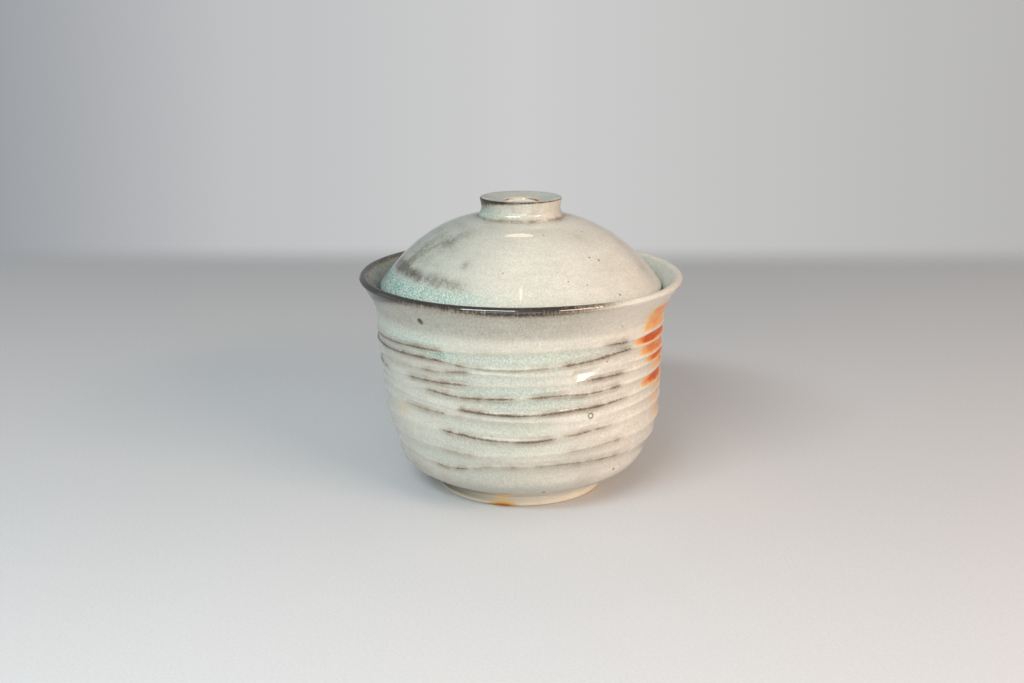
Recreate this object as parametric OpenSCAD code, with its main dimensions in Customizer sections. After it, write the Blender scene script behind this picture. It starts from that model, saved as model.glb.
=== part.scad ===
/* [Bowl] */
// Height of the bowl from the table to the crest of its rim
bowl_h = 89.2; // [82:0.1:100]
// Outer radius of the flared rim
rim_r = 65.5; // [64:0.1:68]
// Outer radius of the smooth neck under the rim
neck_r = 58.8; // [57:0.1:60]
// Outer radius of the belly, where the wall turns upright
belly_r = 56.7; // [54:0.1:58]
// Thickness of the upright wall
wall_t = 4.0; // [3.4:0.1:4.6]
// Thickness of the rounded lip
lip_t = 3.4; // [2.8:0.1:3.8]
// Thickness of the floor above the foot
floor_t = 6; // [5:0.5:8]

/* [Tooled ridges] */
// Number of scoops cut round the wall
scoops = 8; // [5:1:11]
// Depth of each scoop below the crests beside it
scoop_depth = 1.3; // [0.4:0.1:1.6]

/* [Foot ring] */
// Height of the foot ring
foot_h = 5.5; // [5:0.5:7]
// Outer radius of the foot ring where it meets the bowl
foot_r = 34.8; // [32:0.1:38]
// Width of the foot ring
foot_t = 6; // [5:0.5:8]

/* [Lid] */
// Outer radius of the lid's edge
lid_r = 57.1; // [56.5:0.1:57.4]
// Height of the dome above the lid's edge
dome_h = 30; // [26:0.5:34]
// Thickness of the lid's rounded edge
edge_t = 3.1; // [2.6:0.1:3.4]
// Thickness of the lid at its crown
crown_t = 3.8; // [3.4:0.1:5]
// Clearance between the lid's edge and its seat in the bowl
seat_gap = 0.3; // [0.2:0.05:0.5]

/* [Knob] */
// Outer radius of the knob's top edge
knob_r = 16.6; // [15:0.1:18]
// Height of the knob above the dome
knob_h = 8; // [6:0.5:11]
// Radius of the recess in the knob's top
recess_r = 7.3; // [5:0.1:9]

/* [Hidden] */
$fn = 96;

glaze_cream = [0.80, 0.80, 0.74];
glaze_celadon = [0.74, 0.80, 0.76];
glaze_smoky = [0.62, 0.60, 0.55];
bare_clay = [0.76, 0.66, 0.52];

// the lip is a half-round bead; the seat is a cone that leaves it tangentially
lip_radius = lip_t / 2;
lip_r = rim_r - lip_radius;
lip_z = bowl_h - lip_radius;
seat_angle = 40;
seat_top_r = lip_r - lip_radius * cos(seat_angle);
seat_top_z = lip_z + lip_radius * sin(seat_angle);

// the smooth neck, and the flare that opens from it towards the rim
neck_z = lip_z - 12.5;
flare_power = 1.2;
flare_steps = 8;
throat_r = neck_r - wall_t - 0.2;
throat_z = seat_top_z - (seat_top_r - throat_r) / tan(seat_angle);

// the underside curls out from the foot and turns up into the wall
turn_r = foot_r + 0.71 * (belly_r - foot_r);
turn_z = foot_h + 10;
turn_steps = 12;
belly_z = 33;

// the scooped band, from the turn to just below the neck
scoop_high = neck_z - 3;
scoop_pitch = (scoop_high - turn_z) / scoops;
scoop_steps = 8;

// the inside is a rounded basin below this height
basin_z = 34;
basin_r = belly_r - wall_t;
floor_z = foot_h + floor_t;
basin_power = 2 / 2.6;
basin_steps = 16;

foot_chamfer = 0.8;
foot_draft = 0.6;

// the lid's rounded edge stands off the seat cone by the clearance
edge_radius = edge_t / 2;
edge_r = lid_r - edge_radius;
edge_stand = edge_radius + seat_gap;
edge_z = seat_top_z - ((seat_top_r - edge_r) * cos(seat_angle) - edge_stand) / sin(seat_angle);

// above the edge a short upright band rounds over into the dome
band_h = 0.9;
shoulder_round = 2;
dome_lean = 37;
dome_end_r = lid_r - shoulder_round * (1 - cos(dome_lean));
dome_end_z = edge_z + band_h + shoulder_round * sin(dome_lean);
apex_z = edge_z + dome_h;
dome_power = 2.75;
dome_steps = 24;

// the knob stands on a flat worked on the crown, with a fillet round its base
knob_edge = 0.6;
knob_waist_r = knob_r - 0.9;
knob_fillet = 1.9;
knob_base_r = knob_waist_r + knob_fillet;
knob_z = dome_z(knob_base_r);
knob_top_z = knob_z + knob_h;
dish_z = knob_top_z - 1.5;
recess_z = dish_z - 1.8;
recess_round = 0.8;

// the lid's hollow follows the dome
under_z = knob_z - crown_t;
under_end_r = edge_r - edge_radius * cos(dome_lean);
under_end_z = edge_z - edge_radius * sin(dome_lean);

function arc(x, y, r, from, to, steps) =
    [for (i = [0 : steps]) let (a = from + (to - from) * i / steps) [x + r * cos(a), y + r * sin(a)]];

function bezier(a, b, c, d, t) =
    a * pow(1 - t, 3) + b * 3 * t * pow(1 - t, 2) + c * 3 * t * t * (1 - t) + d * pow(t, 3);

function wall_r(z) = lookup(z, [[turn_z, turn_r], [belly_z, belly_r], [neck_z, neck_r]]);

// each scoop is hollow between two crests, which stand proud of the wall except at the band's ends
function scoop_r(z) =
    let (turn = (z - turn_z) / scoop_pitch)
    wall_r(z) + scoop_depth * (0.5 * min(1, turn, scoops - turn) - 0.8 * abs(sin(180 * turn)));

function flare_r(share) = neck_r + (rim_r - neck_r) * pow(share, flare_power);

function dome_z(r) = apex_z - (apex_z - dome_end_z) * pow(r / dome_end_r, dome_power);

function hollow_z(r) = under_z - (under_z - under_end_z) * pow(r / under_end_r, dome_power);

module bowl_body() {
    underside = [for (i = [0 : turn_steps - 1])
        bezier([foot_r, foot_h], [foot_r + 9.2, foot_h + 2.1], [turn_r - 0.7, turn_z - 4],
            [turn_r, turn_z], i / turn_steps)];
    scooped = [for (i = [0 : scoops * scoop_steps])
        let (z = turn_z + scoop_pitch * i / scoop_steps) [scoop_r(z), z]];
    flare = [for (i = [0 : flare_steps - 1])
        [flare_r(i / flare_steps), neck_z + (lip_z - neck_z) * i / flare_steps]];
    lip = arc(lip_r, lip_z, lip_radius, 0, 180 - seat_angle, 12);
    basin = [for (i = [0 : basin_steps])
        let (a = 90 * i / basin_steps)
        [basin_r * pow(cos(a), basin_power), basin_z - (basin_z - floor_z) * pow(sin(a), basin_power)]];
    outline = concat(
        [[0, foot_h]],
        underside,
        scooped,
        flare,
        lip,
        [[throat_r, throat_z], [throat_r - 0.3, neck_z - 6]],
        basin
    );
    color(glaze_cream) rotate_extrude() polygon(outline);
}

module foot_ring() {
    inner_r = foot_r - foot_t;
    outline = [
        [inner_r + 0.4, foot_h],
        [inner_r, foot_chamfer],
        [inner_r + foot_chamfer, 0],
        [foot_r - foot_draft - foot_chamfer, 0],
        [foot_r - foot_draft, foot_chamfer],
        [foot_r, foot_h]
    ];
    color(bare_clay) rotate_extrude() polygon(outline);
}

module lid_dome() {
    dome = [for (i = [0 : dome_steps - 1])
        let (r = knob_base_r + (dome_end_r - knob_base_r) * i / dome_steps) [r, dome_z(r)]];
    shoulder = arc(lid_r - shoulder_round, edge_z + band_h, shoulder_round, dome_lean, 0, 4);
    edge = arc(edge_r, edge_z, edge_radius, 0, dome_lean - 180, 12);
    hollow = [for (i = [1 : dome_steps])
        let (r = under_end_r * (1 - i / dome_steps)) [r, hollow_z(r)]];
    outline = concat([[0, knob_z]], dome, shoulder, edge, hollow);
    color(glaze_celadon) rotate_extrude() polygon(outline);
}

module lid_knob() {
    outline = concat(
        [[0, knob_z]],
        arc(knob_base_r, knob_z + knob_fillet, knob_fillet, 270, 180, 6),
        [[knob_waist_r + 0.2, knob_z + knob_h * 0.6]],
        arc(knob_r - knob_edge, knob_top_z - knob_edge, knob_edge, 0, 90, 6),
        arc(recess_r + recess_round, dish_z - recess_round, recess_round, 90, 180, 5),
        [[recess_r - 0.6, recess_z], [0, recess_z - 0.2]]
    );
    color(glaze_smoky) rotate_extrude() polygon(outline);
}

bowl_body();
foot_ring();
lid_dome();
lid_knob();
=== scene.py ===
import math

import bpy
import numpy as np
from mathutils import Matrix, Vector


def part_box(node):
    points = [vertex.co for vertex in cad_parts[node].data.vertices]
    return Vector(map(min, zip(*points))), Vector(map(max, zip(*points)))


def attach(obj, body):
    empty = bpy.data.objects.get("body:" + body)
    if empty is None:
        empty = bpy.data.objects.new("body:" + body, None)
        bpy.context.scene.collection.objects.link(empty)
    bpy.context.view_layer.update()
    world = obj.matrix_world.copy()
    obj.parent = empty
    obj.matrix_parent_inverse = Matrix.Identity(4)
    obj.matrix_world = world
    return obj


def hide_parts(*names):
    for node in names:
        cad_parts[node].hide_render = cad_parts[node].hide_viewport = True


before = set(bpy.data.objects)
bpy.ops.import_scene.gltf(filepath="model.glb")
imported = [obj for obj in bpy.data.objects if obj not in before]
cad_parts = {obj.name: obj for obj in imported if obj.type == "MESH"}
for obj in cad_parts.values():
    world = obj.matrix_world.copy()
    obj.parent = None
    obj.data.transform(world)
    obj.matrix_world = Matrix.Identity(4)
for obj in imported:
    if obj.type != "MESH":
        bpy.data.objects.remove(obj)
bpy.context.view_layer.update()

# Lengths below are in millimetres and are turned into the frame's metres when a mesh is made.
# Angles are in degrees round the upright axis: 0 is the front (-Y) and 90 is the right (+X).
MM = 0.001
COLUMNS = 384
ANGLES = np.linspace(-180, 180, COLUMNS, endpoint=False)
TURN = np.radians(ANGLES)
RANDOM = np.random.default_rng(7)


def node_box(name):
    """Lowest and highest corner of a CAD node, in millimetres."""
    low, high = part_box(name)
    return np.array(low) / MM, np.array(high) / MM


RIM_R, _, RIM_Z = node_box("bowl_body")[1]
FOOT_R, _, FOOT_H = node_box("foot_ring")[1]
LIP_RADIUS = 1.7
LIP_R, LIP_Z = RIM_R - LIP_RADIUS, RIM_Z - LIP_RADIUS
SEAT_ANGLE = math.radians(40)
NECK_Z = LIP_Z - 12.5
THROAT_R, THROAT_Z = 54.6, LIP_Z - 8.2
BASIN_R, BASIN_Z = 52.7, 34.0
BASIN_POWER = 2 / 2.6
FLOOR_Z = FOOT_H + 6

LID_LOW, LID_HIGH = node_box("lid_dome")
LID_R, CROWN_Z = LID_HIGH[0], LID_HIGH[2]
EDGE_RADIUS = 1.55
EDGE_R, EDGE_Z = LID_R - EDGE_RADIUS, LID_LOW[2] + EDGE_RADIUS
SHOULDER_RADIUS, SHOULDER_Z = 2.0, EDGE_Z + 0.9
DOME_LEAN = math.radians(37)
DOME_POWER = 2.75
DOME_END_R = LID_R - SHOULDER_RADIUS * (1 - math.cos(DOME_LEAN))
DOME_END_Z = SHOULDER_Z + SHOULDER_RADIUS * math.sin(DOME_LEAN)
UNDER_CROWN_Z = CROWN_Z - 3.8

KNOB_BASE_R, _, KNOB_TOP = node_box("lid_knob")[1]
KNOB_R = 16.6
KNOB_WAIST_R = KNOB_R - 0.9
KNOB_EDGE = 0.6
DISH_Z = KNOB_TOP - 1.9
RECESS_R, RECESS_Z = 6.7, KNOB_TOP - 3.1
RECESS_ROUND = 0.8

# Heights of the tooled crests round the wall, lowest crest first, as (angle, height) points.
CRESTS = [
    [(-180, 15.5), (-90, 16), (-50, 16), (0, 16), (30, 16.5), (90, 17), (135, 16)],
    [(-180, 22.5), (-135, 23.5), (-90, 24), (-60, 22.5), (-42, 21), (-33, 20.3), (-22, 21.5), (-12, 23.5),
     (0, 24), (20, 24.5), (45, 24), (70, 25), (90, 26), (130, 24)],
    [(-180, 29), (-135, 30), (-90, 29.5), (-60, 29), (-32, 28.7), (-22, 28), (-5, 29), (20, 30),
     (35, 31), (60, 32), (90, 32.5), (140, 30.5)],
    [(-180, 37.5), (-135, 35.5), (-90, 34.5), (-60, 36.5), (-28, 36.7), (-12, 35.4), (5, 35.3), (20, 36.8),
     (40, 38.6), (65, 39.5), (90, 40), (135, 38)],
    [(-180, 43.5), (-135, 42.5), (-90, 43.5), (-60, 44), (-31, 43.8), (0, 43), (20, 42.6), (45, 43.6),
     (65, 44.4), (90, 44.5), (135, 44.5)],
    [(-180, 49.5), (-135, 48.5), (-90, 48), (-55, 48), (-25, 46.6), (-5, 45.8), (8, 46), (20, 46.8),
     (32, 47.1), (45, 48), (65, 48.6), (90, 48.5), (135, 49.5)],
    [(-180, 55), (-135, 53), (-90, 51), (-60, 52), (-37, 52.3), (-25, 51.6), (-10, 52.1), (5, 52.8),
     (15, 53.2), (25, 52.8), (43, 53.5), (65, 53.8), (90, 54), (135, 55.5)],
    [(-180, 60), (-135, 57), (-90, 54.5), (-68, 54.8), (-45, 55.8), (-20, 56.8), (0, 57.4), (20, 57.8),
     (28, 58.2), (45, 58.3), (65, 58.2), (90, 58), (135, 59.5)],
    [(-180, 64), (-135, 61), (-90, 59), (-67, 59.2), (-45, 60.2), (-33, 60.6), (-21, 62), (-10, 62),
     (5, 61.2), (20, 61.4), (40, 62), (57, 61.6), (75, 61.2), (90, 61), (135, 62.5)],
    [(-180, 67.5), (-135, 65.5), (-90, 63.2), (-74, 63.6), (-60, 64.2), (-45, 65), (-33, 65.2), (-25, 64.5),
     (-18, 64), (0, 63.8), (15, 64.8), (25, 65.7), (43, 67.3), (60, 67), (75, 66.5), (90, 66), (135, 67)],
    [(-180, 72), (-135, 70.5), (-90, 67.5), (-70, 67.6), (-56, 68), (-45, 68.7), (-31, 69.2), (-20, 69.8),
     (-5, 70.8), (15, 71.4), (35, 71), (45, 70.7), (60, 71.2), (75, 70.8), (90, 70.5), (135, 71.5)],
]

# Where each crest's glaze has run thin and shows iron-brown clay, as (from, to, strength).
IRON = [
    [(-62, -32, 0.25), (24, 35, 0.3), (-180, -150, 0.4)],
    [(-43, -22, 0.6), (-22, 5, 0.4), (5, 50, 0.5), (150, 180, 0.5), (-180, -120, 0.5)],
    [(-36, -18, 0.4), (18, 45, 0.45), (-150, -110, 0.5)],
    [(-32, 14, 0.85), (14, 40, 0.55), (130, 180, 0.6), (-180, -160, 0.6)],
    [(-54, -30, 0.45), (-30, 12, 0.25), (-140, -105, 0.6)],
    [(-24, 45, 0.9), (170, 180, 0.8), (-180, -130, 0.8)],
    [(-40, -14, 0.75), (-14, -3, 0.95), (3, 43, 0.7), (120, 165, 0.6)],
    [(-100, -66, 0.7), (-50, -19, 0.75), (22, 45, 0.6), (-180, -125, 0.7)],
    [(-70, -45, 0.35), (-45, -18, 0.5), (140, 180, 0.6), (-180, -165, 0.6)],
    [(-180, -120, 0.8), (-120, -29, 0.9), (-29, -20, 0.6), (-20, 14, 0.45), (14, 48, 0.85), (155, 180, 0.8)],
    [(-78, -31, 0.85), (-31, 30, 0.2), (33, 45, 0.75), (160, 180, 0.7), (-180, -140, 0.7)],
]

# Orange flashing in the hollows, counted upwards from the underside, as (from, to, strength).
FLASH = [
    [(88, 120, 0.12)],
    [(85, 125, 0.16)],
    [(76, 128, 0.15)],
    [(68, 132, 0.24)],
    [(64, 130, 0.22), (-64, -50, 0.12)],
    [(66, 126, 0.26), (79, 120, 0.5)],
    [(60, 118, 0.82)],
    [(64, 120, 0.3), (77, 120, 0.62)],
    [(62, 134, 0.78)],
    [(57, 116, 0.62)],
    [(53, 108, 0.95)],
    [(56, 79, 0.38)],
]

# Thick celadon glaze in the hollows, in the same order.
POOL = [
    [(-170, -120, 0.3)],
    [(-180, -90, 0.3), (-40, 0, 0.12)],
    [(-48, -22, 0.22), (-180, -130, 0.3)],
    [(-40, 20, 0.16), (-160, -100, 0.3)],
    [(-30, 12, 0.2), (-180, -120, 0.25)],
    [(-20, 10, 0.2), (-170, -110, 0.4)],
    [(-14, 26, 0.4), (-40, -14, 0.12)],
    [(-24, 14, 0.42), (-180, -110, 0.3)],
    [(-30, 12, 0.3), (-100, -75, 0.35)],
    [(-100, -60, 0.3), (-28, 18, 0.22), (150, 180, 0.5), (-180, -150, 0.5)],
    [(-40, -24, 0.85), (-24, 48, 0.4), (-100, -40, 0.25), (-180, -110, 0.6)],
    [(-92, -32, 0.42), (-180, -92, 0.35)],
]

# Broad grey smears along the crests, lowest crest first.
SMEAR = [
    [],
    [(-20, 30, 0.3), (-180, -120, 0.2)],
    [(-45, -20, 0.22)],
    [(-20, 20, 0.22), (-160, -100, 0.2)],
    [(-50, 18, 0.36)],
    [(-10, 40, 0.2), (-180, -110, 0.25)],
    [(-20, 30, 0.22)],
    [(-50, -30, 0.2), (-24, 18, 0.34), (20, 42, 0.3)],
    [(-46, -16, 0.3), (-16, 22, 0.32), (-170, -120, 0.2)],
    [(-30, 16, 0.3), (-180, -110, 0.25)],
    [(-30, 34, 0.2)],
]

# Mean outside of the wall without its ridges: the left leans in more than the right near the bottom.
WALL_Z = [5.5, 8, 10, 12, 14, 16, 20, 24, 28, 33, 40, 48, 56, 64, 71, 75]
WALL_LEFT = [34.8, 41.4, 44.8, 47.6, 49.2, 50.0, 51.0, 52.2, 53.7, 55.3, 56.0, 56.5, 57.2, 58.2, 58.7, 58.9]
WALL_RIGHT = [34.8, 41.8, 45.6, 48.2, 50.0, 51.0, 52.6, 54.8, 56.3, 57.0, 57.0, 57.1, 57.4, 57.6, 58.1, 58.5]
SCOOP_ROWS = 10
NECK_ROWS = 27

# A small flat facet cut into the wall above one crest: its angle, facing and tilt, in degrees.
FACET_CREST = 7
FACET_FOOT_R = 57.7
FACET_ANGLE, FACET_TURN, FACET_TILT = 25.5, math.radians(19.6), math.radians(25.5)

# Dark smoky patches on the dome, as (angle, radius, width in degrees, length in millimetres, strength).
DOME_SMOKE = [
    (-74, 49, 9, 1.7, 1.1), (-58, 49.6, 12, 1.5, 0.7), (-38, 50.5, 9, 2, 0.42), (-27, 51, 5, 2.2, 0.2),
    (-45, 29.5, 9, 3, 0.38), (-65, 26, 16, 2.5, 0.26), (-66, 41, 7, 6, 0.3), (-52, 36, 12, 4, 0.25),
    (-28, 43.5, 3, 2, 0.3), (-30, 23, 10, 3, 0.2), (-120, 44, 30, 8, 0.35), (170, 40, 26, 6, 0.4),
    (74, 50, 6, 4, 0.3), (78, 40, 6, 6, 0.15), (14, 26, 16, 3, 0.26), (44, 32, 18, 6, 0.22),
    (44, 47, 14, 4, 0.16),
]

# Iron specks on the dome, as (angle, radius from the axis, size).
DOME_SPECKS = [
    (39, 41.5, 0.42), (44.5, 43, 0.5), (54, 29.2, 0.4), (44, 54.2, 0.5),
    (22, 48.6, 0.3), (18, 28.4, 0.3), (-8, 45.2, 0.3), (30, 50.4, 0.3),
]


# ---------------------------------------------------------------- curves round the axis


def smoothstep(low, high, value):
    t = np.clip((value - low) / (high - low), 0, 1)
    return t * t * (3 - 2 * t)


def smooth_curve(x, points_x, points_y):
    """Cubic curve through the points."""
    px, py = np.asarray(points_x, float), np.asarray(points_y, float)
    slope = np.gradient(py, px)
    i = np.clip(np.searchsorted(px, x, "right") - 1, 0, len(px) - 2)
    h = px[i + 1] - px[i]
    t = (x - px[i]) / h
    t2, t3 = t * t, t * t * t
    return (
        (2 * t3 - 3 * t2 + 1) * py[i]
        + (t3 - 2 * t2 + t) * h * slope[i]
        + (3 * t2 - 2 * t3) * py[i + 1]
        + (t3 - t2) * h * slope[i + 1]
    )


def around(points):
    """Closed smooth curve through (angle, value) points, at every column."""
    angle, value = np.array(points, float).T
    angle = np.concatenate([angle[-3:] - 360, angle, angle[:3] + 360])
    value = np.concatenate([value[-3:], value, value[:3]])
    return smooth_curve(ANGLES, angle, value)


def stretches(spans, fade):
    """Strength at every column, from (from, to, strength) spans whose ends are softened by fade degrees."""
    strength = np.zeros(COLUMNS)
    for start, end, amount in spans:
        rise = smoothstep(start - fade, start + fade, ANGLES) if start > -180 else 1.0
        fall = 1 - smoothstep(end - fade, end + fade, ANGLES) if end < 180 else 1.0
        strength = np.maximum(strength, amount * rise * fall)
    return strength


def turned(size, centre, width):
    """Bell-shaped weight round a centre angle, which wraps at the back."""
    away = (ANGLES - centre + 180) % 360 - 180
    return size * np.exp(-((away / width) ** 2))


def wobble(size, lowest=2, highest=6):
    """Slow random wave round the axis, about size high."""
    wave = np.zeros(COLUMNS)
    for turns in range(lowest, highest + 1):
        phase = RANDOM.uniform(0, 2 * math.pi)
        wave += RANDOM.uniform(0.4, 1) * np.cos(TURN * turns + phase) / math.sqrt(turns)
    return size * wave / np.abs(wave).max()


class Turning:
    """A closed surface turned about the upright axis, row by row from pole to pole, or a ring."""

    # What the materials read, with its value where a row doesn't give one. Crest is the distance
    # to the nearest ridge line, and the others are strengths.
    MARKS = {"crest": 9.0, "iron": 0.0, "flash": 0.0, "pool": 0.0, "smoke": 0.0, "warm": 0.0, "rim": 0.0}

    def __init__(self, name, poles=None):
        """Poles are the heights on the axis where it starts and ends, and a ring has none."""
        self.name = name
        self.poles = poles
        self.radius, self.height = [], []
        self.marks = {mark: [] for mark in self.MARKS}

    def row(self, radius, height, **marks):
        self.radius.append(radius + np.zeros(COLUMNS))
        self.height.append(height + np.zeros(COLUMNS))
        for mark, usual in self.MARKS.items():
            self.marks[mark].append(marks.get(mark, usual) + np.zeros(COLUMNS))

    def point(self, angle, height, rows):
        """The point of the first rows nearest to an angle and height, in metres."""
        column = int(np.argmin(np.abs(ANGLES - angle)))
        heights = np.array(self.height[:rows])[:, column]
        row = int(np.argmin(np.abs(heights - height)))
        radius, a = self.radius[row][column], TURN[column]
        return (radius * math.sin(a) * MM, -radius * math.cos(a) * MM, heights[row] * MM)

    def faces(self):
        """Four-sided faces between the rows, and triangles round each pole."""
        rows = len(self.radius)
        sides = [(i, (i + 1) % COLUMNS) for i in range(COLUMNS)]
        faces = []
        for j in range(rows - 1 if self.poles else rows):
            low, high = j * COLUMNS, (j + 1) % rows * COLUMNS
            faces += [(low + i, low + after, high + after, high + i) for i, after in sides]
        if self.poles:
            last_row = (rows - 1) * COLUMNS
            first_pole, last_pole = rows * COLUMNS, rows * COLUMNS + 1
            faces += [(first_pole, after, i) for i, after in sides]
            faces += [(last_pole, last_row + i, last_row + after) for i, after in sides]
        return faces

    def build(self, material):
        radius, height = np.array(self.radius), np.array(self.height)
        points = np.stack([radius * np.sin(TURN), -radius * np.cos(TURN), height], axis=-1).reshape(-1, 3)
        if self.poles:
            points = np.concatenate([points, [[0, 0, z] for z in self.poles]])
        mesh = bpy.data.meshes.new(self.name)
        mesh.from_pydata((points * MM).tolist(), [], self.faces())
        for mark, rows in self.marks.items():
            values = np.ravel(rows)
            if self.poles:
                values = np.append(values, [rows[0].mean(), rows[-1].mean()])
            layer = mesh.attributes.new(mark, "FLOAT", "POINT")
            layer.data.foreach_set("value", values.astype(np.float32))
        if self.poles and self.poles[0] > self.poles[1]:
            mesh.flip_normals()
        mesh.shade_smooth()
        mesh.materials.append(material)
        piece = bpy.data.objects.new(self.name, mesh)
        bpy.context.scene.collection.objects.link(piece)
        return piece


# ---------------------------------------------------------------- materials


def linear(colour):
    """Linear colour from 0-255 display values."""
    return tuple(((c / 255 + 0.055) / 1.055) ** 2.4 if c > 10 else c / 255 / 12.92 for c in colour) + (1.0,)


CREAM = linear((226, 218, 203))
GREY_CREAM = linear((190, 190, 178))
CELADON_DARK = linear((92, 146, 136))
CELADON_DEEP = linear((132, 168, 157))
CELADON_PALE = linear((206, 219, 208))
SMOKE_AND_SHADE = linear((92, 88, 76))
IRON_DARK = linear((80, 68, 57))
IRON_BROWN = linear((128, 108, 86))
SPECK_BROWN = linear((142, 124, 102))
RIM_DARK = linear((44, 38, 33))
RIM_BROWN = linear((124, 110, 90))
GOLD = linear((230, 186, 106))
SALMON = linear((231, 158, 102))
DEEP_ORANGE = linear((212, 95, 4))
BURNT_ORANGE = linear((192, 80, 6))
CLAY = linear((250, 239, 220))
CLAY_DARK = linear((240, 226, 204))
CLAY_GREY = linear((104, 98, 86))
CLAY_ORANGE = linear((210, 104, 28))
PAPER_DARK = linear((203, 204, 205))
PAPER_PALE = linear((210, 211, 212))

# Pinholes and iron specks on the bowl, as (angle, height, size, colour).
BOWL_SPECKS = [
    (-38, 80.2, 1.35, linear((78, 80, 64))), (-38.8, 80.6, 0.85, linear((50, 50, 40))),
    (28.5, 43.6, 1.25, linear((128, 116, 100))), (28.5, 43.6, 0.62, CREAM),
    (-31.5, 43.8, 0.45, IRON_BROWN), (46, 16.6, 0.55, linear((120, 112, 98))),
    (-9, 8.6, 0.8, linear((96, 92, 84))), (11, 11.2, 0.9, linear((112, 106, 96))),
    (40, 77.6, 0.55, linear((186, 176, 156))), (35, 64.2, 0.35, IRON_BROWN),
]


class Nodes:
    """Short names for the shader nodes that the materials share."""

    def __init__(self, name):
        self.material = bpy.data.materials.new(name)
        self.material.use_nodes = True
        self.tree = self.material.node_tree
        self.shader = self.tree.nodes["Principled BSDF"]
        self.place = self.tree.nodes.new("ShaderNodeTexCoord").outputs["Object"]

    def link(self, source, socket):
        """Link a socket to a socket, or set a plain number or colour on it."""
        if hasattr(source, "is_output"):
            self.tree.links.new(source, socket)
        else:
            socket.default_value = source

    def drive(self, socket_name, source):
        self.link(source, self.shader.inputs[socket_name])

    def mark(self, name):
        """One of the marks that Turning stores on the mesh."""
        node = self.tree.nodes.new("ShaderNodeAttribute")
        node.attribute_name = name
        return node.outputs["Fac"]

    def math(self, operation, a, b=0.0, clamp=False):
        node = self.tree.nodes.new("ShaderNodeMath")
        node.operation, node.use_clamp = operation, clamp
        self.link(a, node.inputs[0])
        self.link(b, node.inputs[1])
        return node.outputs[0]

    def sum(self, a, b, clamp=False):
        return self.math("ADD", a, b, clamp)

    def times(self, a, b, clamp=False):
        return self.math("MULTIPLY", a, b, clamp)

    def blend(self, *terms, base=0.0):
        """Base plus each (value, weight) product."""
        total = base
        for value, weight in terms:
            total = self.sum(total, self.times(value, weight))
        return total

    def centred(self, noise):
        """Noise moved to lie evenly about zero."""
        return self.math("SUBTRACT", noise, 0.5)

    def span(self, value, low, high, to_low=0.0, to_high=1.0):
        """Smooth step from to_low to to_high, as value goes from low to high."""
        node = self.tree.nodes.new("ShaderNodeMapRange")
        node.interpolation_type = "SMOOTHSTEP"
        self.link(value, node.inputs["Value"])
        self.link(low, node.inputs["From Min"])
        self.link(high, node.inputs["From Max"])
        node.inputs["To Min"].default_value = to_low
        node.inputs["To Max"].default_value = to_high
        return node.outputs["Result"]

    def mix(self, share, a, b, blend="MIX"):
        node = self.tree.nodes.new("ShaderNodeMix")
        node.data_type, node.blend_type = "RGBA", blend
        self.link(share, node.inputs[0])
        self.link(a, node.inputs[6])
        self.link(b, node.inputs[7])
        return node.outputs[2]

    def ramp(self, value, stops):
        node = self.tree.nodes.new("ShaderNodeValToRGB")
        elements = node.color_ramp.elements
        while len(elements) < len(stops):
            elements.new(0.5)
        for element, (position, colour) in zip(elements, stops):
            element.position, element.color = position, colour
        self.link(value, node.inputs[0])
        return node.outputs["Color"]

    def stretch(self, scale):
        """Object coordinates scaled along each axis, to draw a noise out."""
        node = self.tree.nodes.new("ShaderNodeVectorMath")
        node.operation = "MULTIPLY"
        self.link(self.place, node.inputs[0])
        node.inputs[1].default_value = scale
        return node.outputs[0]

    def noise(self, scale, detail=2.0, rough=0.5, place=None):
        node = self.tree.nodes.new("ShaderNodeTexNoise")
        self.link(place or self.place, node.inputs["Vector"])
        node.inputs["Scale"].default_value = scale
        node.inputs["Detail"].default_value = detail
        node.inputs["Roughness"].default_value = rough
        return node.outputs["Fac"]

    def cells(self, scale):
        node = self.tree.nodes.new("ShaderNodeTexVoronoi")
        self.link(self.place, node.inputs["Vector"])
        node.inputs["Scale"].default_value = scale
        return node.outputs["Distance"]

    def spot(self, centre, radius):
        """1 inside a small ball round a point in metres, 0 outside, with a soft edge."""
        node = self.tree.nodes.new("ShaderNodeVectorMath")
        node.operation = "DISTANCE"
        self.link(self.place, node.inputs[0])
        node.inputs[1].default_value = centre
        return self.span(node.outputs["Value"], radius * MM * 0.65, radius * MM * 1.35, 1.0, 0.0)

    def bump(self, height, distance, normal=None):
        node = self.tree.nodes.new("ShaderNodeBump")
        node.inputs["Strength"].default_value = 1.0
        node.inputs["Distance"].default_value = distance
        self.link(height, node.inputs["Height"])
        if normal is not None:
            self.link(normal, node.inputs["Normal"])
        return node.outputs["Normal"]


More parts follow.
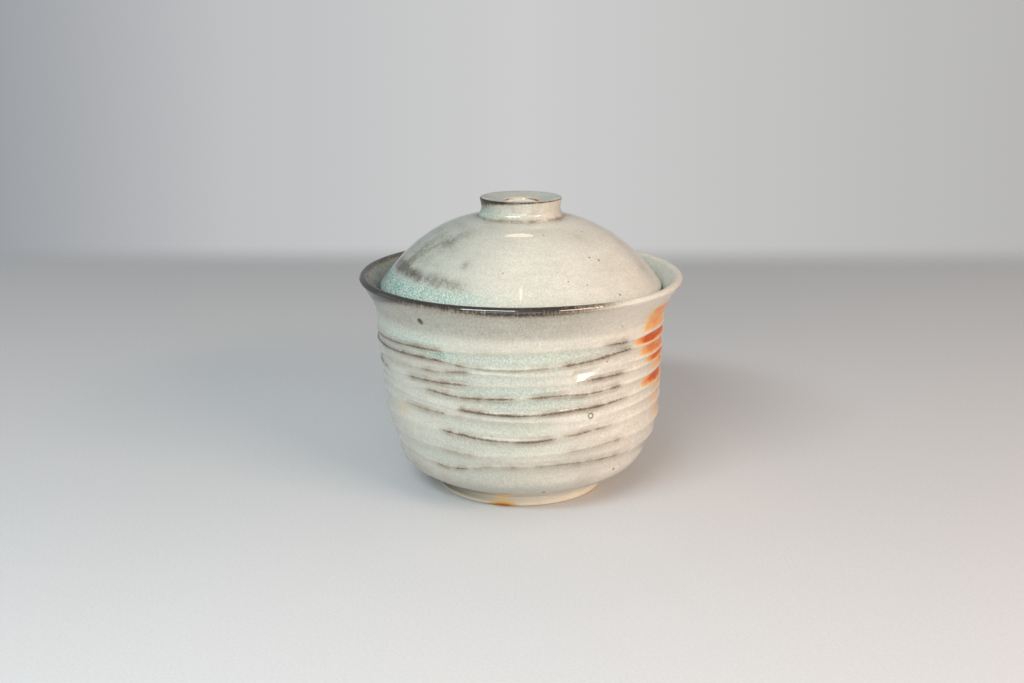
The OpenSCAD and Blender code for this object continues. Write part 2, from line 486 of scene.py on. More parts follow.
class Glaze(Nodes):
    """Glossy celadon and cream glaze. Each layer takes the colour under it and returns the new one."""

    def __init__(self, name, blotches):
        super().__init__(name)
        self.blotches = blotches
        self.cloud = self.centred(self.noise(45, 3))
        self.blotch = self.centred(self.noise(170, 4, 0.6))
        self.fine = self.centred(self.noise(620, 3, 0.6))
        self.speckle = self.centred(self.noise(1900, 2, 0.7))
        self.grain = self.cells(1450)
        self.streak = self.centred(self.noise(1400, 3, 0.6, self.stretch((1, 1, 0.06))))
        self.brushed = self.centred(self.noise(520, 3, 0.6, self.stretch((0.12, 0.12, 1))))

    def cream(self):
        """Cream to grey-cream, with a slow mottle and fine speckle."""
        warm = self.sum(self.mark("warm"), self.times(self.cloud, 0.6), clamp=True)
        mottle = self.blend(
            (self.blotch, 0.26), (self.fine, 0.26), (self.brushed, 0.2), (self.speckle, 0.34), base=1.0
        )
        shade = self.times(mottle, self.span(self.grain, 0.1, 0.7, 1.05, 0.91))
        return self.mix(1.0, self.mix(warm, GREY_CREAM, CREAM), shade, "MULTIPLY")

    def celadon(self, colour):
        """Pools of celadon, crystalline where thick."""
        pool = self.times(self.mark("pool"), self.blend((self.blotch, 1.2), base=0.95), clamp=True)
        crystal = self.span(self.blend((self.fine, 0.6), (self.speckle, 1.1), base=self.grain), 0.1, 0.75)
        deep = self.mix(self.span(pool, 0.6, 1.0), CELADON_DEEP, CELADON_DARK)
        return self.mix(pool, colour, self.mix(crystal, CELADON_PALE, deep))

    def smoke(self, colour):
        """Grey-brown haze from the kiln's smoke, blotched and streaked; the same mark also paints shadow in
        the gap beside the lid and under the bowl's belly.
        """
        drift = self.blend(
            (self.blotch, self.blotches), (self.fine, 0.4 * self.blotches), (self.streak, 1.2),
            (self.speckle, 1.0), base=1.0,
        )
        cloudy = self.times(self.mark("smoke"), drift)
        return self.mix(self.span(cloudy, 0.0, 1.3), colour, SMOKE_AND_SHADE)

    def flash(self, colour):
        """Orange flashing, golden at its tattered edges. Also returns where it is."""
        flash = self.mark("flash")
        tatter = self.blend((self.brushed, 0.9), (self.fine, 0.7), (self.blotch, 0.8))
        tatter = self.times(tatter, self.span(flash, 0.0, 0.35))
        ragged = self.sum(self.times(flash, self.sum(1.0, tatter)), self.times(tatter, 0.3), clamp=True)
        heat = [(0.16, GOLD), (0.42, SALMON), (0.75, DEEP_ORANGE), (1.0, BURNT_ORANGE)]
        flashed = self.span(ragged, 0.02, 0.34)
        return self.mix(flashed, colour, self.ramp(ragged, heat)), flashed

    def ridge_lines(self, colour):
        """Iron-brown lines on the crests, broken and uneven in width. Also returns where they are."""
        distance = self.blend((self.fine, 1.2), (self.speckle, 1.1), base=self.mark("crest"))
        uneven = self.blend((self.blotch, 2.2), (self.fine, 1.2), base=1.0)
        strength = self.times(self.mark("iron"), uneven)
        width = self.times(strength, 0.44)
        line = self.span(distance, self.times(width, -0.4), self.sum(width, 0.34), 1.0, 0.0)
        line = self.times(line, self.span(strength, 0.12, 0.8), clamp=True)
        smear = self.sum(self.times(self.brushed, 1.6), self.blend((self.blotch, 1.2), base=0.55), clamp=True)
        near = self.span(distance, 0.1, 3.4, 1.15, 0.0)
        halo = self.times(near, self.span(strength, -0.1, 0.9, 0.0, 0.8))
        colour = self.mix(self.times(halo, smear, clamp=True), colour, IRON_BROWN)
        core = self.mix(self.span(strength, 0.3, 0.95), IRON_BROWN, IRON_DARK)
        return self.mix(line, colour, core), line

    def dark_rim(self, colour):
        """Dark rim, running down in streaks."""
        drip = self.times(self.mark("rim"), self.blend((self.streak, 1.6), (self.fine, 0.5), base=1.0))
        colour = self.mix(self.span(drip, 0.0, 0.55, 0.0, 0.9), colour, RIM_BROWN)
        return self.mix(self.span(drip, 0.3, 0.8), colour, RIM_DARK)

    def pinholes(self, colour, spots):
        """Pinholes and specks at given points. Also returns where they are."""
        pits = 0.0
        for centre, radius, spot_colour in spots:
            here = self.spot(centre, radius)
            colour = self.mix(here, colour, spot_colour)
            pits = self.sum(pits, here)
        return colour, pits

    def specks(self, colour):
        """Small iron specks scattered in clusters over the whole glaze."""
        chosen = self.span(self.noise(90, 1), 0.58, 0.62)
        scattered = self.times(self.span(self.cells(210), 0.03, 0.055, 0.6, 0.0), chosen)
        return self.mix(scattered, colour, IRON_BROWN)

    def gloss(self, flashed, line):
        """A clear glassy coat, thinner over the orange and the bare ridge lines."""
        matt = self.blend((self.grain, 0.25), (self.fine, 0.5), base=line)
        dull = self.math("MAXIMUM", flashed, self.times(line, 0.5))
        self.drive("Roughness", self.span(matt, -0.1, 1.0, 0.42, 0.62))
        self.drive("IOR", 1.5)
        self.drive("Specular IOR Level", 0.2)
        self.drive("Coat Weight", self.span(dull, 0.0, 1.0, 0.85, 0.12))
        self.drive("Coat Roughness", 0.04)

    def relief(self, pits):
        """Slight ripple, calmer on the rim, with pitted pinholes and a fine grain."""
        ripple = self.times(self.centred(self.noise(300, 2)), self.span(self.mark("rim"), 0.0, 0.5, 1.0, 0.2))
        peel = self.bump(self.blend((pits, -1.5), base=ripple), 0.00006)
        self.drive("Normal", self.bump(self.grain, 0.000012, peel))


def glaze(name, spots, blotches=2.4):
    """Glaze with spots of (point in metres, radius in mm, colour), and blotches as strong as given."""
    n = Glaze(name, blotches)
    colour = n.smoke(n.celadon(n.cream()))
    colour, flashed = n.flash(colour)
    colour, line = n.ridge_lines(colour)
    colour, pits = n.pinholes(n.dark_rim(colour), spots)
    n.drive("Base Color", n.specks(colour))
    n.gloss(flashed, line)
    n.relief(pits)
    return n.material


def bare_clay(name):
    """Matt buff stoneware with fine grog, turning lines and orange flashing."""
    n = Nodes(name)
    cloud = n.noise(70, 3)
    grog = n.noise(1500, 3, 0.7)
    rings = n.noise(60, 2, 0.6, n.stretch((0.2, 0.2, 30)))
    colour = n.mix(n.span(cloud, 0.3, 0.7), CLAY, CLAY_DARK)
    colour = n.mix(n.span(rings, 0.45, 0.7, 0.0, 0.3), colour, CLAY_DARK)
    # Grey where the smoke mark is set: grey clay on the left, and painted contact shadow along the top of the
    # ring.
    colour = n.mix(n.mark("smoke"), colour, CLAY_GREY)
    flash = n.blend((n.centred(cloud), 0.3), base=n.mark("flash"))
    colour = n.mix(n.span(flash, 0.1, 0.55), colour, GOLD)
    colour = n.mix(n.span(flash, 0.6, 1.0), colour, CLAY_ORANGE)
    colour = n.mix(n.span(grog, 0.62, 0.72, 0.0, 0.45), colour, IRON_BROWN)
    n.drive("Base Color", colour)
    n.drive("Roughness", n.span(grog, 0.3, 0.7, 0.72, 0.92))
    n.drive("Normal", n.bump(rings, 0.0001, n.bump(grog, 0.00006)))
    return n.material


# ---------------------------------------------------------------- bowl


def wall_r(z):
    """Outside radius of the wall without its ridges."""
    left, right = smooth_curve(z, WALL_Z, WALL_LEFT), smooth_curve(z, WALL_Z, WALL_RIGHT)
    return left + (right - left) * (0.5 + 0.5 * np.sin(TURN))


def flare_r(z):
    """Outside radius from the neck up to the lip."""
    share = np.clip((z - NECK_Z) / (LIP_Z - NECK_Z), 0, 1)
    neck = wall_r(np.minimum(z, WALL_Z[-1]))
    return neck + (RIM_R - neck) * share**1.3


def warmth():
    """1 where the glaze is cream, on the right, and 0 where it is grey, on the left."""
    return around([(-180, 0.2), (-120, 0.0), (-60, 0.04), (-30, 0.1), (0, 0.28), (25, 0.6),
                   (45, 0.88), (75, 1.0), (130, 0.8)])


def haze_strength():
    """Grey-brown haze under the rim."""
    return around([(-180, 0.4), (-120, 0.55), (-85, 0.72), (-62, 0.54), (-40, 0.5), (0, 0.48), (25, 0.38),
                   (40, 0.12), (60, 0.0), (100, 0.0), (130, 0.1), (155, 0.3)])


def rim_darkness():
    return around([(-180, 0.8), (-120, 0.95), (-90, 1.0), (-55, 1.0), (-38, 0.93), (-20, 0.9), (0, 0.92),
                   (14, 0.78), (24, 0.52), (38, 0.16), (60, 0.0), (100, 0.0), (130, 0.1), (155, 0.5)])


def rim_stain(below):
    """How dark the outside is at a depth below the top of the rim, in millimetres."""
    reach = around([(-180, 2.5), (-120, 6.5), (-80, 8.8), (-62, 5), (-46, 2.3), (-34, 1.7), (-24, 1.8),
                    (-10, 2.3), (0, 2.4), (18, 2), (40, 1.2), (90, 1), (140, 2)])
    return rim_darkness() * (1 - smoothstep(reach * 0.2, reach * 1.8, below))


def inside_smoke():
    return around([(-180, 0.35), (-110, 0.6), (-60, 0.65), (0, 0.55), (45, 0.15), (90, 0.1), (140, 0.2)])


def ridge_rise():
    """How far each crest stands out of the wall: most where its glaze has run thin, and at the sides."""
    ribbed_side = stretches([(48, 130, 0.42)], 14) + stretches([(-130, -70, 0.2)], 20)
    low_down = smoothstep(0, 4, np.arange(len(CRESTS)))
    return [
        0.1 + wobble(0.06) + 0.42 * stretches(spans, 12) + ribbed_side * low_down[k]
        for k, spans in enumerate(IRON)
    ]


def facet(radius, z, crest):
    """How deep the small flat facet above a crest is cut, at every column."""
    column = int(np.argmin(np.abs(ANGLES - FACET_ANGLE)))
    foot_z = crest[column] + 0.2
    reach = np.cos(TURN - FACET_TURN) * math.cos(FACET_TILT)
    foot_reach = FACET_FOOT_R * math.cos(math.radians(FACET_ANGLE) - FACET_TURN) * math.cos(FACET_TILT)
    plane = (foot_reach + (foot_z - z) * math.sin(FACET_TILT)) / np.maximum(reach, 0.1)
    aside = np.abs(ANGLES - FACET_ANGLE)
    fade = (1 - smoothstep(2.4, 5.0, z - foot_z)) * (1 - smoothstep(3.4, 6.5, aside))
    return np.where((aside < 12) & (z > foot_z - 0.6), np.clip(radius - plane, 0, 1.3) * fade, 0)


class Wall:
    """Where the ridges run round the bowl's wall, and the marks on it, at every column."""

    def __init__(self):
        self.warm = warmth()
        self.haze = haze_strength()
        self.low_smoke = 0.42 - 0.38 * self.warm + turned(0.06, 5, 22)
        self.crests = [around(points) for points in CRESTS]
        self.rise = ridge_rise()
        self.sway = wobble(0.25, 2, 4)
        self.iron = [stretches(spans, 5) for spans in IRON]
        self.pool = [stretches(spans, 7) for spans in POOL]
        self.smear = [stretches(spans, 9) for spans in SMEAR]
        cooling = 1 - 0.65 * smoothstep(84, 124, ANGLES)
        self.flash = [stretches(spans, 8) * cooling for spans in FLASH]


def turn_underside(bowl, wall):
    """Flat base inside the foot ring, with the turning tool's spiral, and the curl up to the first crest."""
    for share in np.linspace(0.08, 1, 18):
        r = FOOT_R * share
        spiral = 0.12 * (1 - share) * (1 + np.cos(TURN + r * 1.5))
        bowl.row(r, FOOT_H + spiral, warm=wall.warm, smoke=0.25 * share)
    for share in np.linspace(0, 1, 16)[1:-1]:
        z = FOOT_H + (wall.crests[0] - FOOT_H) * share**1.7
        bowl.row(
            wall_r(z) + wall.sway * share + wall.rise[0] * smoothstep(0.5, 1, share), z,
            warm=wall.warm, smoke=0.36 - 0.24 * wall.warm, crest=8 * (1 - share), iron=wall.iron[0],
            pool=wall.pool[0] * share, flash=wall.flash[0] * share,
        )


def turn_scoops(bowl, wall):
    """Hollow scoops between the crests, each deepest a little below its middle."""
    for k in range(len(CRESTS) - 1):
        gap = wall.crests[k + 1] - wall.crests[k]
        relief = np.sqrt(wall.rise[k] * wall.rise[k + 1])
        depth = 0.17 * gap * relief * (1 + wobble(0.25, 2, 5))
        for u in np.arange(SCOOP_ROWS) / SCOOP_ROWS:
            z = wall.crests[k] + gap * u
            lean = u**0.75
            hollow = 4 * lean * (1 - lean)
            ridge = wall.rise[k] * (1 - u) + wall.rise[k + 1] * u
            r = wall_r(z) + wall.sway + ridge * (1 - hollow) - depth * hollow
            within = 1 - abs(2 * u - 1) ** 4
            bowl.row(
                r - facet(r, z, wall.crests[FACET_CREST]), z, warm=wall.warm, crest=gap * min(u, 1 - u),
                iron=wall.iron[k] if u < 0.5 else wall.iron[k + 1],
                flash=wall.flash[k + 1] * within, pool=wall.pool[k + 1] * within,
                smoke=wall.low_smoke * smoothstep(24, 15, z)
                + wall.smear[k] * (1 - u) ** 3 + wall.smear[k + 1] * u**2,
            )


def turn_neck(bowl, wall):
    """Smooth neck and flare, from the last crest to the lip."""
    top = wall.crests[-1]
    left_haze = turned(0.8, -85, 22)
    for u in np.arange(NECK_ROWS) / NECK_ROWS:
        z = top + (LIP_Z - top) * u
        above = z - top
        haze = wall.haze * smoothstep(NECK_Z - 6, NECK_Z + 4, z)
        bowl.row(
            flare_r(z) + wall.sway * (1 - u) + wall.rise[-1] * np.exp(-above * 0.9), z,
            warm=wall.warm, crest=above, iron=wall.iron[-1],
            flash=wall.flash[-1] * smoothstep(0, 1.5, above) * (1 - smoothstep(9, 12.5, above)),
            pool=wall.pool[-1] * (1 - smoothstep(3, 9, above)) * smoothstep(0, 0.8, above),
            smoke=haze * (1 + left_haze * smoothstep(80, 85, z)),
            rim=rim_stain(RIM_Z - z) + 0.5 * wall.haze * smoothstep(NECK_Z + 3, RIM_Z - 1.5, z) ** 2,
        )


def turn_lip(bowl, wall, lift):
    """Rounded lip, slightly flattened outside and lifted unevenly."""
    pale_top = around([(-180, 0.5), (-90, 0.35), (-60, 0.3), (-38, 0.45), (-22, 0.45), (0, 0.45), (40, 0.6),
                       (120, 0.6)])
    smoke = np.maximum(0.35 * (1 - 0.6 * wall.warm), wall.haze)
    for degrees in (0, 9, 17, 25, 33, 42, 52, 63, 76, 90, 103, 116, 128, 180 - math.degrees(SEAT_ANGLE)):
        a = math.radians(degrees)
        round_r = LIP_RADIUS - 0.085 * math.exp(-(((degrees - 25) / 20) ** 2))
        z = LIP_Z + round_r * math.sin(a) + lift * math.sin(a)
        below = np.maximum(0, RIM_Z - z) * (degrees < 76)
        stain = rim_stain(below) * (1 - pale_top * smoothstep(75, 115, degrees))
        bowl.row(LIP_R + round_r * math.cos(a), z, warm=wall.warm, smoke=smoke,
                 rim=np.maximum(stain, 0.38 * rim_darkness()), flash=turned(0.1, 78, 16))


def turn_seat(bowl, wall, lift):
    """Cone inside the flare, which the lid sits in."""
    seat_r = LIP_R - LIP_RADIUS * math.cos(SEAT_ANGLE)
    seat_z = LIP_Z + LIP_RADIUS * math.sin(SEAT_ANGLE)
    smoke = inside_smoke()
    for share in np.linspace(0, 1, 14)[1:]:
        r = seat_r + (THROAT_R - seat_r) * share
        z = seat_z + (THROAT_Z - seat_z) * share + lift * (1 - share) ** 3 * 0.5
        # The haze grows towards the lid's edge: painted shadow of the gap beside the lid, laid over the dark
        # glaze there.
        bowl.row(r, z, warm=wall.warm * 0.7, smoke=smoke * (1 + 0.9 * share), pool=0.25 * (1 - smoke),
                 rim=rim_darkness() * 0.5 * (1 - smoothstep(0, 0.25, share)))


def turn_inside(bowl, wall):
    """Inside wall with throwing rings, then the rounded basin."""
    for share in np.linspace(0, 1, 34)[1:]:
        z = THROAT_Z + (BASIN_Z - THROAT_Z) * share
        ring = 0.16 * np.sin(z * 0.9 + TURN) * smoothstep(0, 0.2, share)
        r = THROAT_R + (BASIN_R - THROAT_R) * share + ring
        smoke = inside_smoke() * (1 - smoothstep(0, 0.5, share))
        bowl.row(r, z, warm=0.5 + 0.3 * wall.warm, smoke=smoke, pool=0.12)
    for a in np.linspace(0, math.pi / 2, 36)[1:-1]:
        r = BASIN_R * math.cos(a) ** BASIN_POWER
        z = BASIN_Z - (BASIN_Z - FLOOR_Z) * math.sin(a) ** BASIN_POWER
        ring = 0.14 * np.sin(r * 0.8 + TURN) * min(1, r / 12)
        bowl.row(r, z + ring, warm=0.6 + 0.2 * wall.warm, pool=0.12 + 0.5 * (1 - r / BASIN_R) ** 1.5)


def build_bowl():
    wall = Wall()
    bowl = Turning("bowl_glazed_body", (FOOT_H, FLOOR_Z))
    turn_underside(bowl, wall)
    turn_scoops(bowl, wall)
    turn_neck(bowl, wall)
    outside = len(bowl.radius)
    lift = wobble(0.3, 2, 4)
    turn_lip(bowl, wall, lift)
    turn_seat(bowl, wall, lift)
    turn_inside(bowl, wall)
    spots = [(bowl.point(angle, z, outside), radius, colour) for angle, z, radius, colour in BOWL_SPECKS]
    piece = bowl.build(glaze("glaze_bowl", spots, 0.8))
    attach(piece, "bowl")
    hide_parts("bowl_body")


def build_foot():
    inner_r = FOOT_R - 6
    outline = [
        (inner_r + 0.4, FOOT_H), (inner_r + 0.1, 3.2), (inner_r + 0.1, 1.2), (inner_r + 0.5, 0.35),
        (inner_r + 1.2, 0), (FOOT_R - 2.0, 0), (FOOT_R - 1.1, 0.3), (FOOT_R - 0.75, 1.0),
        (FOOT_R - 0.6, 2.2), (FOOT_R - 0.6, 3.4), (FOOT_R - 0.75, 4.2), (FOOT_R - 0.5, 4.8), (FOOT_R, FOOT_H),
    ]
    outline_r, outline_z = zip(*outline)
    uneven = wobble(0.15, 2, 7)
    flash = turned(1.1, -12, 9) + turned(0.35, 62, 26) + turned(0.5, 150, 25)
    smoke = turned(1.0, -72, 62)
    foot = Turning("bowl_foot")
    for step in np.linspace(0, len(outline) - 1, 49):
        r = np.interp(step, range(len(outline)), outline_r)
        z = np.interp(step, range(len(outline)), outline_z)
        low = 1 - smoothstep(0.2, 2.4, z)
        # The top of the ring, under the belly, is also greyed as painted contact shadow.
        foot.row(r + uneven * min(1, z / 2), z, flash=flash * (0.35 + 0.75 * low),
                 smoke=smoke * (1 - low) + 0.2 * (z > 4))
    piece = foot.build(bare_clay("clay_foot"))
    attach(piece, "bowl")
    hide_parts("foot_ring")


# ---------------------------------------------------------------- lid


def dome_z(radius):
    """Height of the dome's outside, which is at the crown where the knob's base ends."""
    base = (KNOB_BASE_R / DOME_END_R) ** DOME_POWER
    apex = (CROWN_Z - DOME_END_Z * base) / (1 - base)
    return apex - (apex - DOME_END_Z) * (radius / DOME_END_R) ** DOME_POWER


def patch(radius, angle, at_radius, wide, long, strength):
    """Soft patch on the dome, wide in degrees and long in millimetres."""
    return turned(strength, angle, wide) * math.exp(-(((radius - at_radius) / long) ** 2))


def dome_marks(r):
    warm = around([(-180, 0.2), (-120, 0.0), (-60, 0.02), (-30, 0.12), (0, 0.3), (30, 0.48), (75, 0.75),
                   (130, 0.4)])
    left = around([(-180, 0.3), (-130, 0.8), (-80, 1.0), (-55, 0.85), (-30, 0.4), (0, 0.1), (40, 0),
                   (140, 0.1)])
    pool = left * smoothstep(50, 53.5, r) * 0.85 + left * 0.16
    pool = pool + patch(r, -30, 54, 16, 3, 0.35) + patch(r, 20, 56, 30, 1.2, 0.25)
    smoke = 0.1 + 0.16 * smoothstep(24, 17, r) + 0.3 * left * smoothstep(54, 50, r) * smoothstep(18, 34, r)
    smoke = smoke + sum(patch(r, *place) for place in DOME_SMOKE)

    # a brown crease round the knob, and a hairline where the glaze parted
    hairline = np.abs(ANGLES - np.interp(r, [37, 48], [-58, -72])) * math.radians(1) * r * 0.6
    crease = abs(r - KNOB_BASE_R - 0.2)
    crest = np.minimum(hairline, crease)
    iron = np.where(hairline < crease, 0.36 * (37 < r < 48), 0.4)
    return {"warm": warm, "pool": pool, "smoke": smoke, "crest": crest, "iron": iron}


def turn_dome(lid):
    """Flat crown under the knob, and the dome down to its shoulder, with faint throwing rings."""
    sway = wobble(0.3, 2, 4)
    for r in (4, 8, 12, 15, 16.5):
        lid.row(r, CROWN_Z, warm=0.5)
    start_r = KNOB_BASE_R - 0.6
    for share in np.linspace(0, 1, 100):
        r = start_r + (DOME_END_R - start_r) * share
        ring = 0.045 * np.sin(r * 1.15 + TURN * 2) * smoothstep(29, 40, r)
        lid.row(r, min(dome_z(r), CROWN_Z) + (ring + sway) * math.sin(math.pi * share), **dome_marks(r))


def turn_edge(lid):
    """Rounded shoulder and edge, round to the underside."""
    for a in np.linspace(DOME_LEAN, 0, 7)[1:]:
        lid.row(LID_R - SHOULDER_RADIUS * (1 - math.cos(a)), SHOULDER_Z + SHOULDER_RADIUS * math.sin(a),
                **dome_marks(LID_R))
    for a in np.linspace(0, DOME_LEAN - math.pi, 15):
        lid.row(EDGE_R + EDGE_RADIUS * math.cos(a), EDGE_Z + EDGE_RADIUS * math.sin(a), warm=0.5, smoke=0.45)


def turn_hollow(lid):
    """Hollow underside with throwing rings."""
    under_r = EDGE_R - EDGE_RADIUS * math.cos(DOME_LEAN)
    under_z = EDGE_Z - EDGE_RADIUS * math.sin(DOME_LEAN)
    for share in np.linspace(0, 1, 56)[1:-1]:
        r = under_r * (1 - share)
        z = UNDER_CROWN_Z - (UNDER_CROWN_Z - under_z) * (r / under_r) ** DOME_POWER
        ring = 0.15 * np.sin(r * 0.85 + TURN) * math.sin(math.pi * share)
        edge_smoke = 0.3 * (1 - smoothstep(0, 0.08, share))
        lid.row(r, z + ring, warm=0.65, pool=0.15 + 0.25 * share, smoke=edge_smoke)


def build_lid():
    lid = Turning("lid_glazed_dome", (CROWN_Z, UNDER_CROWN_Z))
    turn_dome(lid)
    outside = len(lid.radius)
    turn_edge(lid)
    turn_hollow(lid)
    spots = [(lid.point(angle, dome_z(r), outside), size, SPECK_BROWN) for angle, r, size in DOME_SPECKS]
    piece = lid.build(glaze("glaze_lid", spots))
    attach(piece, "lid")
    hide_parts("lid_dome")


def turn_knob_wall(knob, warm, left, uneven, sag):
    """Concave side wall, from a crease on the dome to a waist and out to the rim, then the rim itself."""
    dark = around([(-180, 0.85), (-120, 1.0), (-60, 1.0), (-20, 0.9), (10, 0.75), (35, 0.6), (65, 0.45),
                   (100, 0.25), (140, 0.5)])
    reach = around([(-180, 2), (-110, 4), (-70, 3.8), (-45, 2.4), (-10, 1.3), (30, 1), (90, 0.8), (140, 1.2)])
    knob.row(8, CROWN_Z, warm=warm)
    knob.row(KNOB_BASE_R, CROWN_Z, warm=warm, smoke=0.5)
    foot_z, top = CROWN_Z + 0.25, KNOB_TOP - KNOB_EDGE
    for share in np.linspace(0, 1, 32):
        up = (top - foot_z) * share
        spread = (KNOB_BASE_R - KNOB_WAIST_R) * max(0, 1 - up / 4) ** 2.2
        singe = 0.55 * dark * smoothstep(0.35, 0.75, share) * (0.35 + 0.65 * left)
        knob.row(
            KNOB_WAIST_R + spread + 0.2 * share + 0.7 * share**2.2 + uneven * share,
            foot_z + up - sag * share,
            warm=warm, crest=4 * share, iron=0.5, pool=0.75 * left * (1 - smoothstep(0.4, 0.8, share)),
            rim=dark * (1 - smoothstep(reach * 0.1, reach * 1.3, KNOB_TOP - foot_z - up)),
            smoke=0.4 * max(0, 1 - up) ** 2 + singe + 0.15,
        )
    for a in np.linspace(0, math.pi / 2, 9)[1:]:
        knob.row(KNOB_R - KNOB_EDGE + KNOB_EDGE * math.cos(a) + uneven, top + KNOB_EDGE * math.sin(a) - sag,
                 warm=warm, rim=dark * (1 - 0.9 * smoothstep(0.6, 1.4, a)), smoke=0.25)


def turn_knob_top(knob, warm, left, uneven, sag):
    """Dished top, and a shallow recess with an orange-edged brim."""
    ring_flash = 0.06 + turned(0.5, 80, 42) + turned(0.12, 180, 50)
    ring_iron = 0.25 + turned(0.4, 110, 45) + turned(0.25, -120, 40)
    top_r, brim_r, brim_z = KNOB_R - KNOB_EDGE, RECESS_R + RECESS_ROUND, DISH_Z - RECESS_ROUND
    for share in np.linspace(0, 1, 18)[1:-1]:
        r = top_r + (brim_r - top_r) * share
        z = KNOB_TOP + (DISH_Z - KNOB_TOP) * share
        knob.row(r + uneven * (1 - share), z - sag * (1 - share), warm=0.35 + 0.3 * warm, pool=0.3,
                 smoke=0.2 + 0.25 * left * (1 - share))
    for a in np.linspace(0.5 * math.pi, math.pi, 8):
        knob.row(brim_r + RECESS_ROUND * math.cos(a), brim_z + RECESS_ROUND * math.sin(a),
                 warm=0.6, flash=ring_flash * math.sin(a) ** 2, crest=9 * (a < 2.2), iron=ring_iron)
    for share in np.linspace(0, 1, 6)[1:]:
        knob.row(RECESS_R - 0.6 * share, brim_z + (RECESS_Z - brim_z) * share, warm=0.8,
                 flash=0.12 * ring_flash * (1 - share), smoke=0.1)
    for share in np.linspace(0, 1, 8)[1:-1]:
        knob.row((RECESS_R - 0.6) * (1 - share), RECESS_Z - 0.2 * share, warm=0.8, flash=0.05, smoke=0.08)


def build_knob():
    warm = around([(-180, 0.2), (-120, 0.0), (-60, 0.05), (-20, 0.3), (20, 0.6), (60, 0.8), (110, 0.6)])
    left = around([(-180, 0.4), (-110, 0.8), (-70, 0.95), (-40, 0.6), (0, 0.3), (50, 0.05), (120, 0.1)])
    uneven = wobble(0.12, 2, 5)
    sag = 0.36 * (1 - np.cos(TURN))
    knob = Turning("lid_knob_ring", (CROWN_Z, RECESS_Z - 0.2))
    turn_knob_wall(knob, warm, left, uneven, sag)
    turn_knob_top(knob, warm, left, uneven, sag)
    piece = knob.build(glaze("glaze_knob", []))
    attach(piece, "lid")
    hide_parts("lid_knob")


# ---------------------------------------------------------------- studio, in metres

# Name, azimuth, elevation and distance from the bowl's middle, width and height, watts, colour, shape.
LIGHTS = [
    ("key", -24, 37, 0.75, (0.44, 0.085), 3.2, (0.9, 1.0, 1.05), "RECTANGLE"),
    ("fill", 43, 28, 0.75, (0.38, 0.08), 1.7, (1.42, 1.0, 0.76), "RECTANGLE"),
    ("front", -8, 13, 0.9, (0.70, 0.26), 2.3, (1.0, 1.0, 0.94), "RECTANGLE"),
    ("right_side", 95, 20, 0.8, (0.6, 0.5), 0.55, (1.4, 1.0, 0.74), "RECTANGLE"),
    ("left_side", -95, 16, 0.8, (0.6, 0.4), 0.4, (0.85, 1.0, 1.1), "RECTANGLE"),
    ("back_lamp", 182, 58.5, 0.6, (0.12, 0.06), 0.068, (1.4, 1.0, 0.65), "ELLIPSE"),
    ("top_lamp", 0, 65, 0.55, (0.018, 0.08), 0.018, (1.0, 1.0, 1.0), "ELLIPSE"),
]
LIGHT_TARGET = np.array([0, 0, 0.06])
TABLE_HALF, TABLE_FADE = 0.50, 0.09
CAMERA_PLACE = (0, -0.566, 0.214)
CAMERA_DIP, CAMERA_TURN = 15.29, 0.36

# Colour of the wall behind, from left to right, as (share of the way across, colour), and of the room above.
BACKDROP = [
    (0.1, linear((142, 146, 152))), (0.3, linear((191, 192, 194))), (0.5, linear((205, 205, 205))),
    (0.95, linear((176, 175, 173))),
]
ROOM = (0.33, 0.345, 0.355, 1.0)


def build_table():
    """Pale table top whose far edges fade into the backdrop."""
    mesh = bpy.data.meshes.new("table")
    corners = [(x * TABLE_HALF, y * TABLE_HALF, 0) for x, y in ((-1, -1), (1, -1), (1, 1), (-1, 1))]
    mesh.from_pydata(corners, [], [(0, 1, 2, 3)])
    table = bpy.data.objects.new("table", mesh)
    bpy.context.scene.collection.objects.link(table)
    n = Nodes("table_paper")
    fibre = n.noise(900, 4, 0.7)
    n.drive("Base Color", n.mix(n.span(fibre, 0.3, 0.7), PAPER_DARK, PAPER_PALE))
    n.drive("Roughness", 0.95)
    n.drive("Specular IOR Level", 0.1)
    separate = n.tree.nodes.new("ShaderNodeSeparateXYZ")
    n.link(n.place, separate.inputs[0])
    across, along = n.math("ABSOLUTE", separate.outputs[0]), n.math("ABSOLUTE", separate.outputs[1])
    reach = n.math("MAXIMUM", across, along)
    n.drive("Alpha", n.span(reach, TABLE_HALF - TABLE_FADE, TABLE_HALF, 1.0, 0.0))
    mesh.materials.append(n.material)


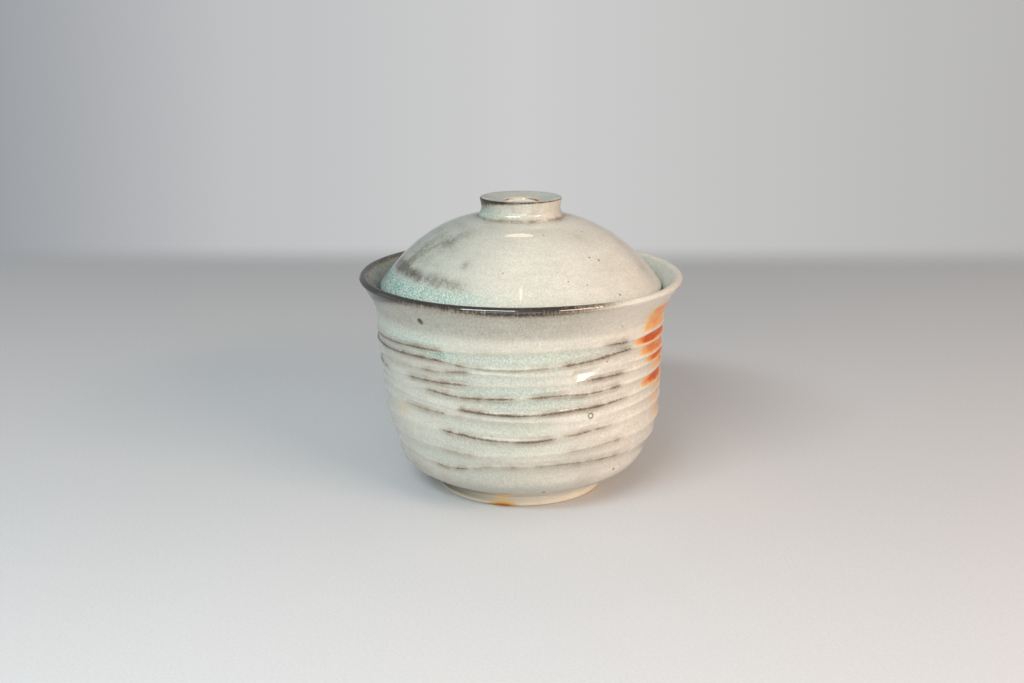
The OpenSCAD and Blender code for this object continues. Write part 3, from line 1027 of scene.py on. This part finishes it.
def build_backdrop():
    """A cool, dim room above, and below the horizon a pale wall that is brightest behind the bowl."""
    world = bpy.data.worlds.new("studio")
    bpy.context.scene.world = world
    world.use_nodes = True
    nodes, links = world.node_tree.nodes, world.node_tree.links
    direction = nodes.new("ShaderNodeSeparateXYZ")
    links.new(nodes.new("ShaderNodeTexCoord").outputs["Generated"], direction.inputs[0])

    def share(axis, low, high):
        node = nodes.new("ShaderNodeMapRange")
        links.new(direction.outputs[axis], node.inputs["Value"])
        node.inputs["From Min"].default_value = low
        node.inputs["From Max"].default_value = high
        return node.outputs["Result"]

    wall = nodes.new("ShaderNodeValToRGB")
    elements = wall.color_ramp.elements
    while len(elements) < len(BACKDROP):
        elements.new(0.5)
    for element, (position, colour) in zip(elements, BACKDROP):
        element.position, element.color = position, colour
    links.new(share("X", -0.5, 0.5), wall.inputs[0])
    mix = nodes.new("ShaderNodeMix")
    mix.data_type = "RGBA"
    links.new(share("Z", 0.0, 0.12), mix.inputs[0])
    links.new(wall.outputs["Color"], mix.inputs[6])
    mix.inputs[7].default_value = ROOM
    links.new(mix.outputs[2], nodes["Background"].inputs["Color"])


def soft_light(name, azimuth, elevation, distance, size, power, colour, shape):
    """Softbox aimed at the bowl's middle."""
    data = bpy.data.lights.new(name, "AREA")
    data.shape = shape
    data.size, data.size_y = size
    data.energy = power
    data.color = colour
    light = bpy.data.objects.new(name, data)
    a, e = math.radians(azimuth), math.radians(elevation)
    towards = np.array([math.sin(a) * math.cos(e), -math.cos(a) * math.cos(e), math.sin(e)])
    light.location = LIGHT_TARGET + towards * distance
    light.rotation_euler = (math.pi / 2 - e, 0, a)
    light.visible_camera = False
    bpy.context.scene.collection.objects.link(light)


def build_camera():
    data = bpy.data.cameras.new("camera")
    data.lens, data.sensor_width = 50, 36
    camera = bpy.data.objects.new("camera", data)
    camera.location = CAMERA_PLACE
    camera.rotation_euler = (math.radians(90 - CAMERA_DIP), 0, math.radians(CAMERA_TURN))
    bpy.context.scene.collection.objects.link(camera)
    bpy.context.scene.camera = camera


build_bowl()
build_foot()
build_lid()
build_knob()
build_table()
build_backdrop()
for light in LIGHTS:
    soft_light(*light)
build_camera()
bpy.context.scene.view_settings.view_transform = "Standard"
